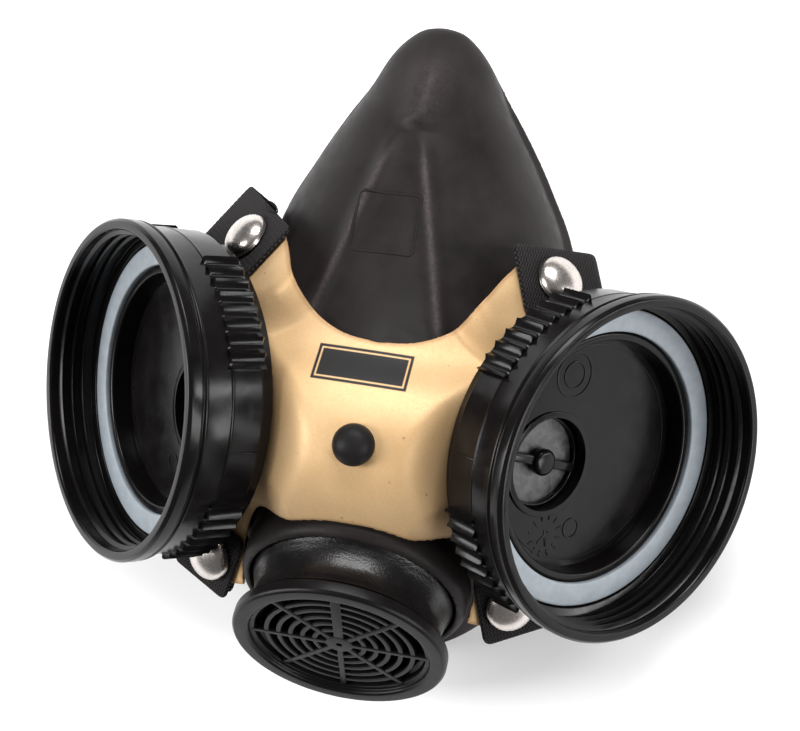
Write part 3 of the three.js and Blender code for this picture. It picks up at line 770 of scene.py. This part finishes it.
def facepiece():
    body = shell()
    for side in SIDES.values():
        pad = put(cylinder(NUT_SEAT_R + 3, -PAD_BACK - 10, -PAD_FACE), port_frame(side))
        add(body, cut(pad, cavity()))
    boss = put(cylinder(26.4, -14, 1, 128), EXHALE)
    roll = [(24, -3.5), (26.2, -3.6), (27.9, -2.6), (BEAD_R, -0.6), (29.0, 2.2), (28.5, 5.0), (27.4, 6.8),
            (26.3, 7.2), (25.9, 6.8), (25.9, 0), (24, 0)]
    add(body, cut(boss, cavity()), put(lathe("roll", roll, 160), EXHALE))
    for side in SIDES.values():
        port = port_frame(side)
        cut(body, put(cylinder(NUT_SEAT_R, -PAD_BACK - 12, -PAD_BACK), port),
            put(cylinder(NECK_R + GAP, -PAD_BACK - 1, -10), port),
            put(cylinder(RIM_R + 1, -CUP_DEPTH - 0.8, 0, 160), cup_frame(side)))
    for r, low, high in ((20.3, -8, 2), (24, -16, -3), (25.8, 0, 12)):
        cut(body, put(cylinder(r, low, high, 128), EXHALE))
    pocket = combine(plate_slab(-PLATE_T - GAP, 14), plate_prism(0.8), "INTERSECT")
    cut(body, cut(pocket, bead_sweep(-0.4)))
    stem = put(cylinder(1.9, 40, 80, 32), Matrix.Translation((0, STUD_Y, 0)))
    cut(body, stem)
    fine_skin(body, 0.62, 5)
    x, y, z = points_of(body).T
    outside = z > shell_height(x, y) - 1.2
    # Painted highlight: marks the outer faces of the nose ridges and the beak to be painted lighter.
    ridge_highlight = np.maximum(nose_ridges(x, y) ** 5, 0.45 * beak(x, y)) * outside
    paint(body, "ridge_highlight", ridge_highlight)
    return finish_piece(body, "facepiece_moulding", "mask", RUBBER, ["facepiece"], 80)


def raised_frame():
    """Faint raised rectangle on the nose, left blank."""
    cx, cy, hx, hy, corner = -4.4, 31.4, 7.9, 7.6, 1.0
    loop = []
    for k, (sx, sy) in enumerate(((1, 1), (-1, 1), (-1, -1), (1, -1))):
        for a in np.linspace(0, math.pi / 2, 7) + k * math.pi / 2:
            loop.append((cx + sx * (hx - corner) + corner * math.cos(a),
                         cy + sy * (hy - corner) + corner * math.sin(a)))
    loop = np.array(loop)
    dense = np.vstack([np.linspace(a, b, 12, endpoint=False) for a, b in zip(loop, np.roll(loop, -1, 0))])
    t = np.roll(dense, -1, 0) - np.roll(dense, 1, 0)
    t /= np.linalg.norm(t, axis=1, keepdims=True)
    aside = np.column_stack([t[:, 1], -t[:, 0]])
    rings = []
    for off, rise in ((-0.45, -0.6), (-0.42, 0.02), (-0.2, 0.2), (0.2, 0.2), (0.42, 0.02), (0.45, -0.6)):
        x, y = (dense + aside * off).T
        n = surface_normals(shell_height, x, y)
        rings.append(np.column_stack([x, y, shell_height(x, y)]) + n * rise)
    obj = skin("raised_frame", rings)
    return finish_piece(obj, "nose_frame_moulding", "mask", RUBBER, (), 80)


# ---------------------------------------------------------------- yoke plate and stud
def yoke_plate():
    body = combine(plate_slab(-PLATE_T, 0), plate_prism(0), "INTERSECT")
    cut(body, bead_sweep(0.5), put(cylinder(2.3, 40, 80, 48), Matrix.Translation((0, STUD_Y, 0))))
    for side in SIDES.values():
        cut(body, put(cylinder(NECK_R + 0.5, -40, -10), port_frame(side)))
        for level in RIVETS:
            cut(body, put(cylinder(2.1, -8, 8, 48), rivet_frame(level, side)))
    fine_skin(body, 0.36, 3)
    co = points_of(body)
    n = surface_normals(plate_height, co[:, 0], co[:, 1])
    rise = (co[:, 2] - plate_height(co[:, 0], co[:, 1])) * n[:, 2]
    for level in (0, -PLATE_T):
        off = rise - level
        co -= n * (off * smoothstep(0.34, 0.1, np.abs(off)))[:, None]
    set_points(body, co)
    # Painted shade: a band along the plate's outline and round the bead, where it meets rubber, is marked
    # to be painted darker.
    half = through(PLATE_EDGE, 60)
    loop = np.vstack([half, half * (-1, 1)])
    tree = KDTree(len(loop))
    for i, p in enumerate(loop):
        tree.insert((*p, 0), i)
    tree.balance()
    edge = np.array([tree.find((p[0], p[1], 0))[2] for p in co])
    beside = np.cross(co - EXHALE_SEAT, EXHALE_AXIS)
    edge = np.minimum(edge, np.abs(np.linalg.norm(beside, axis=1) - BEAD_R - 0.5))
    paint(body, "edge_shade", smoothstep(1.3, 0.2, edge))
    return finish_piece(body, "yoke_plate_pressing", "mask", GOLD, ["yoke_plate"], 80)


def centre_stud():
    base = float(plate_height(np.zeros(1), np.array([STUD_Y]))[0]) + GAP
    profile = [(0, -9.2), (3.4, -9.2), (3.4, -8.1), (1.6, -7.8), (1.6, 0), (4.9, 0), (5, .9), (4.6, 2.3),
               (3.5, 3.6), (1.9, 4.4), (0, 4.6)]
    obj = put(lathe("stud", rounded(profile, 0.8, 4, False), 96), Matrix.Translation((0, STUD_Y, base)))
    return finish_piece(obj, "centre_stud_moulding", "mask", SOFT_RUBBER,
                        ["centre_stud"], 60)


# ---------------------------------------------------------------- exhalation valve
def fan(count, start, make):
    return [turned(make(), start + 360 * k / count) for k in range(count)]


def spoke(width, inner, outer, low, high, ease=0.25):
    return block((outer - inner, width, high - low), ((inner + outer) / 2, 0, (low + high) / 2), ease)


def valve_body():
    """Neck that flares from the rubber roll out to the cover flange, with a pebbled skin."""
    rim = curve([(5.9, 25.5), (7.2, 24.9), (9.5, 24.1), (12.5, 23.7), (15.2, 24.3), (17.7, 25.6)])
    heights = np.linspace(5.9, 17.5, 60)
    profile = [(23.4, -5.6), (23.4, -3.3), (20, -3.3), (20, 0.3), (25.4, 0.3), (25.5, 0.6)]
    profile += [(float(rim(h)), h) for h in heights]
    profile += [(25.6, 17.75), (21.6, 17.75), (21.6, 8.6), (20.6, 8.6), (20.6, 6), (17.5, 6), (17.5, -5.6)]
    body = lathe("neck", profile, 420)
    co = points_of(body)
    r = np.hypot(co[:, 0], co[:, 1])
    on_neck = smoothstep(5.6, 6.6, co[:, 2]) * smoothstep(16.8, 15.8, co[:, 2]) * (r > 22.9)
    for i in np.nonzero(on_neck > 0)[0]:
        p = Vector(co[i])
        bump = noise.noise(p * 2.6) + 0.6 * noise.noise(p * 4.3)
        co[i, :2] *= 1 + 0.035 * on_neck[i] * bump / r[i]
    set_points(body, co)
    put(body, EXHALE)
    return finish_piece(body, "valve_body_moulding", "mask", PEBBLED, ["valve_body"], 50)


def exhalation_seat():
    body = tube(15, 20.3, 6.3, 8.3, 0.3)
    add(body, *fan(4, 45, lambda: spoke(2, 2.2, 15.5, 6.3, 7.9)), tube(1.5, 3.4, 6.3, 7.9))
    return finish_piece(put(body, EXHALE), "exhalation_seat_moulding", "mask", PLASTIC,
                        ["exhalation_seat"])


def exhalation_flap():
    profile = [(0, 3), (1.9, 3), (1.9, 3.9), (1.1, 4.3), (1.1, 8.7), (16.6, 8.7), (16.6, 9.3), (3.4, 9.5),
               (2.4, 10.6), (0, 10.9)]
    obj = put(lathe("flap", rounded(profile, 0.3, 3, False), 96), EXHALE)
    return finish_piece(obj, "exhalation_flap_moulding", "exhalation_flap", SOFT_RUBBER,
                        ["exhalation_flap"])


GRILLE_LOW, GRILLE_HIGH = 18.9, 20.5
GRILLE_RINGS = (6.2, 9.2, 12.2, 15.2, 18.2)
GRILLE_R = 22.4


def valve_cover():
    """Snap-on cover: flat annulus round a recessed grille of eight spokes and five rings."""
    profile = [(19.8, 12.4), (21.2, 12.4), (21.2, 17.9), (25.5, 18.0), (COVER_R, 18.6), (COVER_R, 21.2),
               (26.0, COVER_FACE), (GRILLE_R + 0.5, COVER_FACE), (GRILLE_R, 21.5),
               (GRILLE_R - 0.2, GRILLE_HIGH), (21.2, GRILLE_HIGH), (21.2, GRILLE_LOW), (19.8, 18.1)]
    body = lathe("cover", rounded(profile, 0.35, 4), 180)
    for r in GRILLE_RINGS:
        add(body, tube(r - 0.62, r + 0.62, GRILLE_LOW, GRILLE_HIGH, 0.25, 120))
    for k in range(8):
        width = 2.4 if k == 2 else 1.5
        add(body, turned(spoke(width, 1.2, 21.8, GRILLE_LOW - 0.3, GRILLE_HIGH + 0.12), 45 * k))
    hub = lathe("hub", rounded([(0, GRILLE_LOW - 0.3), (3.4, GRILLE_LOW - 0.3), (3.4, GRILLE_HIGH + 0.2),
                                (0, GRILLE_HIGH + 0.2)], 0.3, 3, False), 96)
    cut(add(body, hub), cylinder(0.8, 10, 30, 32))
    return finish_piece(put(body, EXHALE), "valve_cover_moulding", "valve_cover", COVER,
                        ["valve_cover"])


# ---------------------------------------------------------------- cartridge receptacles
def thread_ridge():
    """Screw thread inside the rim, fading out at both ends."""
    per_turn = 72
    rows = int(per_turn * THREAD_TURNS)
    section = ((39.5, -0.75), (38.75, -0.45), (38.25, -0.12), (38.25, 0.12), (38.75, 0.45), (39.5, 0.75))
    rings = []
    for i in range(rows + 1):
        a = 2 * math.pi * i / per_turn
        fade = min(1, i / 12, (rows - i) / 12)
        h = -1.9 - THREAD_PITCH * i / per_turn
        ring = []
        for r, z in section:
            r = r if r > 39 else 39.25 - (39.25 - r) * fade
            ring.append((r * math.cos(a), r * math.sin(a), h + z))
        rings.append(ring)
    return capped("thread", rings)


def cup_wall():
    """Wall of a receptacle with its rolled rim, outer grooves and gasket shelf."""
    profile = [(39.2, -0.5), (39.6, 0), (41.3, 0), (RIM_R, -0.8), (RIM_R, -3.4), (41.5, -3.8), (41.5, -4.1),
               (41.9, -4.4), (41.9, -4.9), (41.3, -5.3), (40.7, -5.5), (40.45, -11.6), (40.6, -11.8),
               (40.6, -12.2), (40.35, -12.4), (40.1, -19.9), (39.9, -20.3), (38.9, -20.5), (38.4, -23.4),
               (37.6, -CUP_DEPTH), (36, -CUP_DEPTH),
               (36, -21), (28.4, -21), (28.4, -FLOOR_DEPTH), (28.8, -13.6), (29.1, -13.2), (30.5, -13.2),
               (30.8, -13.6), (30.8, -14.7), (37.2, -14.7), (37.2, -12.4), (39.2, -11.9)]
    return lathe("wall", rounded(profile, 0.22, 3), 240)


def grip_band():
    """Raised band with hollow flutes between sharp ridges, centred on local X."""
    per_flute = 12
    count = FLUTES * per_flute
    rings = []
    for i in range(count + 1):
        a = math.radians((i / count - 0.5) * FLUTES * FLUTE_PITCH)
        t = abs(2 * ((i / per_flute) % 1) - 1)
        r = 40.8 + 1.15 * t ** 1.9
        section = ((39.2, -20.9), (r - 0.9, -20.9), (r, -20.2), (r, -11.7), (r - 0.35, -11.2),
                   (39.2, -11.2))
        rings.append([(q * math.cos(a), q * math.sin(a), h) for q, h in section])
    return capped("grip", rings)


def floor_marks(side):
    """Plain moulded marks on the floor: a tick dial, a disc, a double ring and a ring round them all."""
    marks = []

    def ring(x, y, inner, outer):
        obj = tube(inner, outer, -FLOOR_DEPTH - 0.4, -FLOOR_DEPTH + 0.22, 0.08, 64)
        return put(obj, Matrix.Translation((x, y, 0)))
    dial = Matrix.Translation((DIAL[0], side * DIAL[1], 0))
    for k in range(12):
        tick = block((1.5, 0.5, 0.62), (4.6, 0, -FLOOR_DEPTH - 0.09), 0.08)
        marks.append(put(tick, dial @ Matrix.Rotation(k * math.pi / 6, 4, "Z")))
    for turn in (0.9, 2.0):
        bar = block((4.2, 0.5, 0.62), (0.8, 0, -FLOOR_DEPTH - 0.09), 0.08)
        marks.append(put(bar, dial @ Matrix.Rotation(side * turn, 4, "Z")))
    marks.append(ring(DISC[0], side * DISC[1], 2.2, 2.6))
    marks.append(ring(EMBLEM[0], side * EMBLEM[1], 5.2, 5.7))
    marks.append(ring(EMBLEM[0], side * EMBLEM[1], 3.0, 3.4))
    marks.append(ring(0, 0, 26.4, 26.9))
    return marks


def receptacle(name, side):
    body = add(cup_wall(), thread_ridge())
    for group in range(4):
        add(body, turned(grip_band(), side * (RIB_TURN[name] + 90 * group)))
    floor = lathe("floor", [(0, -21), (28.6, -21), (28.6, -FLOOR_DEPTH), (0, -FLOOR_DEPTH)], 200)
    add(body, floor, *floor_marks(side))
    for angle in (4, 184):
        seam = block((0.5, 0.35, 8.0), (40.25, 0, -16.2), 0.1)
        add(body, turned(seam, side * (RIB_TURN[name] - 45 + angle)))
    offset = Matrix.Translation((PORT_INWARD, side * PORT_CHINWARD, 0))
    add(body, put(cylinder(17, -CUP_DEPTH - 0.4, -20), offset),
        put(cylinder(NECK_R, -PAD_BACK - 4.4, -22), offset),
        put(tube(PORT_R - 0.4, PORT_R + 1.5, -19, -FLOOR_DEPTH + 0.55, 0.25), offset))
    cut(body, put(cylinder(PORT_R, -60, 0, 128), offset))
    put(body, cup_frame(side))
    return finish_piece(body, f"receptacle_{name}_moulding", "mask", PLASTIC,
                        [f"receptacle_{name}"], 32)


def gasket(name, side):
    body = tube(31.1, 36.8, -GASKET_DEPTH - 2, -GASKET_DEPTH, 0.55, 160)
    return finish_piece(put(body, cup_frame(side)), f"gasket_{name}_ring", "mask", GASKET,
                        [f"gasket_{name}"], 60)


def lock_nut(name, side):
    body = tube(NECK_R + GAP, NUT_SEAT_R - 0.5, -PAD_BACK - 3.6, -PAD_BACK - GAP, 0.4)
    cut(body, *fan(4, 45, lambda: block((3, 3.4, 9), (18.2, 0, -PAD_BACK - 2), 0.5)))
    return finish_piece(put(body, port_frame(side)), f"lock_nut_{name}_moulding", "mask",
                        PLASTIC, [f"lock_nut_{name}"])


def inhalation_valve(name, side):
    """Crossbar seat with its retaining knob, and the disc flap behind it."""
    valve = port_frame(side) @ Matrix.Translation((0, 0, -FLAP_DEPTH))
    seat = tube(10.5, PORT_R - GAP, 0.3, 1.5, 0.3)
    knob = lathe("knob", rounded([(0, -5.4), (1.8, -5.4), (1.8, -4.6), (1.1, -4.2), (1.1, 0.8), (3.3, 1.2),
                                  (3.3, 2.8), (2.6, 3.4), (0, 3.6)], 0.5, 4, False), 64)
    add(seat, block((21.4, 2.3, 1.5), (0, 0, 1.45), 0.35), knob)
    put(seat, valve)
    finish_piece(seat, f"inhalation_seat_{name}_moulding", "mask", PLASTIC,
                 [f"inhalation_seat_{name}"])
    flap = put(tube(1.45, 10.9, -0.8, 0, 0.25), valve)
    finish_piece(flap, f"inhalation_flap_{name}_disc", f"inhalation_flap_{name}", FLAP,
                 [f"inhalation_flap_{name}"])


# ---------------------------------------------------------------- webbing and rivets
NEAR, FAR = 0.25, -PLATE_T - 0.25
DOME, TAIL = NEAR + WEB_T + GAP, FAR - WEB_T - GAP


def thread_loop():
    """Loose loop of sewing thread standing at the webbing's edge."""
    rings = []
    for a in np.linspace(0, 2 * math.pi, 40, endpoint=False):
        middle = np.array([1.5 + 2.9 * math.cos(a), -9.7 - 0.9 * math.sin(a), 1.9 + 0.5 * math.cos(a)])
        aside = np.array([0, 0, 1.0])
        out = np.array([math.cos(a), math.sin(a), 0])
        rings.append([tuple(middle + 0.24 * (math.cos(b) * out + math.sin(b) * aside))
                      for b in np.linspace(0, 2 * math.pi, 8, endpoint=False)])
    n, m = len(rings), 8
    faces = [(i * m + j, i * m + (j + 1) % m, (i + 1) % n * m + (j + 1) % m, (i + 1) % n * m + j)
             for i in range(n) for j in range(m)]
    return outward(solid("thread_loop", [p for ring in rings for p in ring], faces))


def webbing(name, level, side):
    """Knit webbing end: the upper ones bend over the plate's edge, the lower ones fold back beneath."""
    near, bend, degrees, radius, after = WEB_RUN[f"{level}_{name}"]
    fold = math.radians(degrees)
    high = NEAR + WEB_T / 2
    top, turn = near + bend, fold * radius
    length = top + turn + after
    rows, cols = int(length / 0.3), 74
    v = np.linspace(-1, 1, cols)
    edge_round = np.sqrt(np.maximum(1 - np.abs(v) ** 14, 0))
    rings, along, across = [], [], []
    for s in np.linspace(0, length, rows):
        if s < top:
            centre, normal = np.array([s - near, 0, high]), np.array([0, 0, 1.0])
        elif s < top + turn:
            a = (s - top) / radius
            normal = np.array([math.sin(a), 0, math.cos(a)])
            centre = np.array([bend, 0, high - radius]) + radius * normal
        else:
            normal = np.array([math.sin(fold), 0, math.cos(fold)])
            onward = np.array([math.cos(fold), 0, -math.sin(fold)])
            centre = np.array([bend, 0, high - radius]) + radius * normal + (s - top - turn) * onward
        end = min(s, length - s)
        corner = 2.4
        trim = corner - math.sqrt(max(corner**2 - (corner - min(end, corner)) ** 2, 0))
        half = WEB_W / 2 - trim
        y = v * half
        thick = 0.5 * WEB_T * edge_round * math.sqrt(min(1, end / 0.5))
        rib = 0.09 * (np.abs(np.sin(math.pi * y / RIB_PITCH)) - 1) * smoothstep(0, 0.8, end)
        for sign, order in ((1, slice(None)), (-1, slice(-2, 0, -1))):
            height = (sign * (thick + rib * edge_round))[order]
            pts = centre + y[order, None] * (0, 1, 0) + height[:, None] * normal
            ring = pts if sign > 0 else np.vstack([ring, pts])
            along += [s] * len(pts)
            across += list(y[order])
        rings.append(ring)
    body = capped("webbing", rings)
    paint(body, "along", [0, *along, length])
    paint(body, "across", [0, *across, 0])
    cut(body, cylinder(2.2, -9, 9, 48))
    if (level, name) == ("upper", "left"):
        add(body, thread_loop())
    put(turned(body, STRAP_TURN[f"{level}_{name}"]), rivet_frame(level, side))
    piece = finish_piece(body, f"strap_{level}_{name}_webbing", f"strap_{level}_{name}", WEBBING,
                         [f"strap_{level}_{name}"], 60)
    return piece


def rivet(name, level, side):
    """Domed rivet, and the washer under its tail."""
    profile = [(0, TAIL - 1.7), (2.6, TAIL - 1.7), (2.6, TAIL - 1.1), (1.7, TAIL - 1.1), (1.7, DOME),
               (5.9, DOME), (6.35, DOME + .35)]
    for a in np.linspace(0, math.pi / 2, 24):
        profile.append((6.3 * math.cos(a), DOME + 0.5 + 3.4 * math.sin(a)))
    profile[-1] = (0, DOME + 3.9)
    profile = rounded(profile[:6], 0.4, 4, False)[:-1] + profile[6:]
    body = put(lathe("rivet", profile, 128), rivet_frame(level, side))
    finish_piece(body, f"rivet_{level}_{name}_dome", "mask", NICKEL,
                 [f"rivet_{level}_{name}"], 60)
    washer = put(tube(2.0, 4.8, TAIL - 0.8, TAIL, 0.2, 64), rivet_frame(level, side))
    finish_piece(washer, f"washer_{level}_{name}_ring", "mask", NICKEL,
                 [f"washer_{level}_{name}"])


# ---------------------------------------------------------------- stage
def soft_light(name, at, aim, size, power):
    data = bpy.data.lights.new(name, "AREA")
    data.shape, data.size, data.size_y, data.energy = "RECTANGLE", *size, power
    lamp = bpy.data.objects.new(name, data)
    lamp.location = at
    lamp.rotation_euler = (Vector(aim) - Vector(at)).to_track_quat("-Z", "Y").to_euler()
    bpy.context.scene.collection.objects.link(lamp)


def stage():
    """White paper, four soft boxes and the photo's camera."""
    floor = solid("floor", [(-2, -2, 0), (2, -2, 0), (2, 2, 0), (-2, 2, 0)], [(0, 1, 2, 3)])
    paper = Finish("paper")
    paper.colour(paper.mix(paper.noise(40, 2), (0.86, 0.86, 0.86), (0.89, 0.89, 0.89)))
    paper.roughness(0.9)
    floor.data.materials.append(paper.material)
    world = bpy.data.worlds.new("studio")
    world.use_nodes = True
    world.node_tree.nodes["Background"].inputs["Color"].default_value = (1, 1, 1, 1)
    world.node_tree.nodes["Background"].inputs["Strength"].default_value = 0.2
    bpy.context.scene.world = world
    aim = (0, 0, 0.03)
    soft_light("left_box", (-0.75, -0.15, 0.55), aim, (0.3, 0.9), 13)
    soft_light("top_box", (0.05, 0.75, 0.75), aim, (0.8, 0.35), 14)
    soft_light("right_box", (0.85, -0.25, 0.5), aim, (0.25, 0.8), 8)
    soft_light("low_box", (0.95, 0.10, 0.27), aim, (0.12, 0.5), 4)
    camera = bpy.data.cameras.new("camera")
    camera.lens, camera.sensor_width = CAMERA_LENS, 36
    camera.clip_start, camera.clip_end = 0.01, 10
    eye = bpy.data.objects.new("camera", camera)
    eye.matrix_world = frame_at([v * MM for v in CAMERA_AT], CAMERA_BACK, CAMERA_RIGHT)
    bpy.context.scene.collection.objects.link(eye)
    bpy.context.scene.camera = eye
    bpy.context.scene.view_settings.view_transform = "Standard"


# ---------------------------------------------------------------- assembly
facepiece()
raised_frame()
yoke_plate()
centre_stud()
valve_body()
exhalation_seat()
exhalation_flap()
valve_cover()
for name, side in SIDES.items():
    receptacle(name, side)
    gasket(name, side)
    lock_nut(name, side)
    inhalation_valve(name, side)
    for level in RIVETS:
        webbing(name, level, side)
        rivet(name, level, side)
stage()
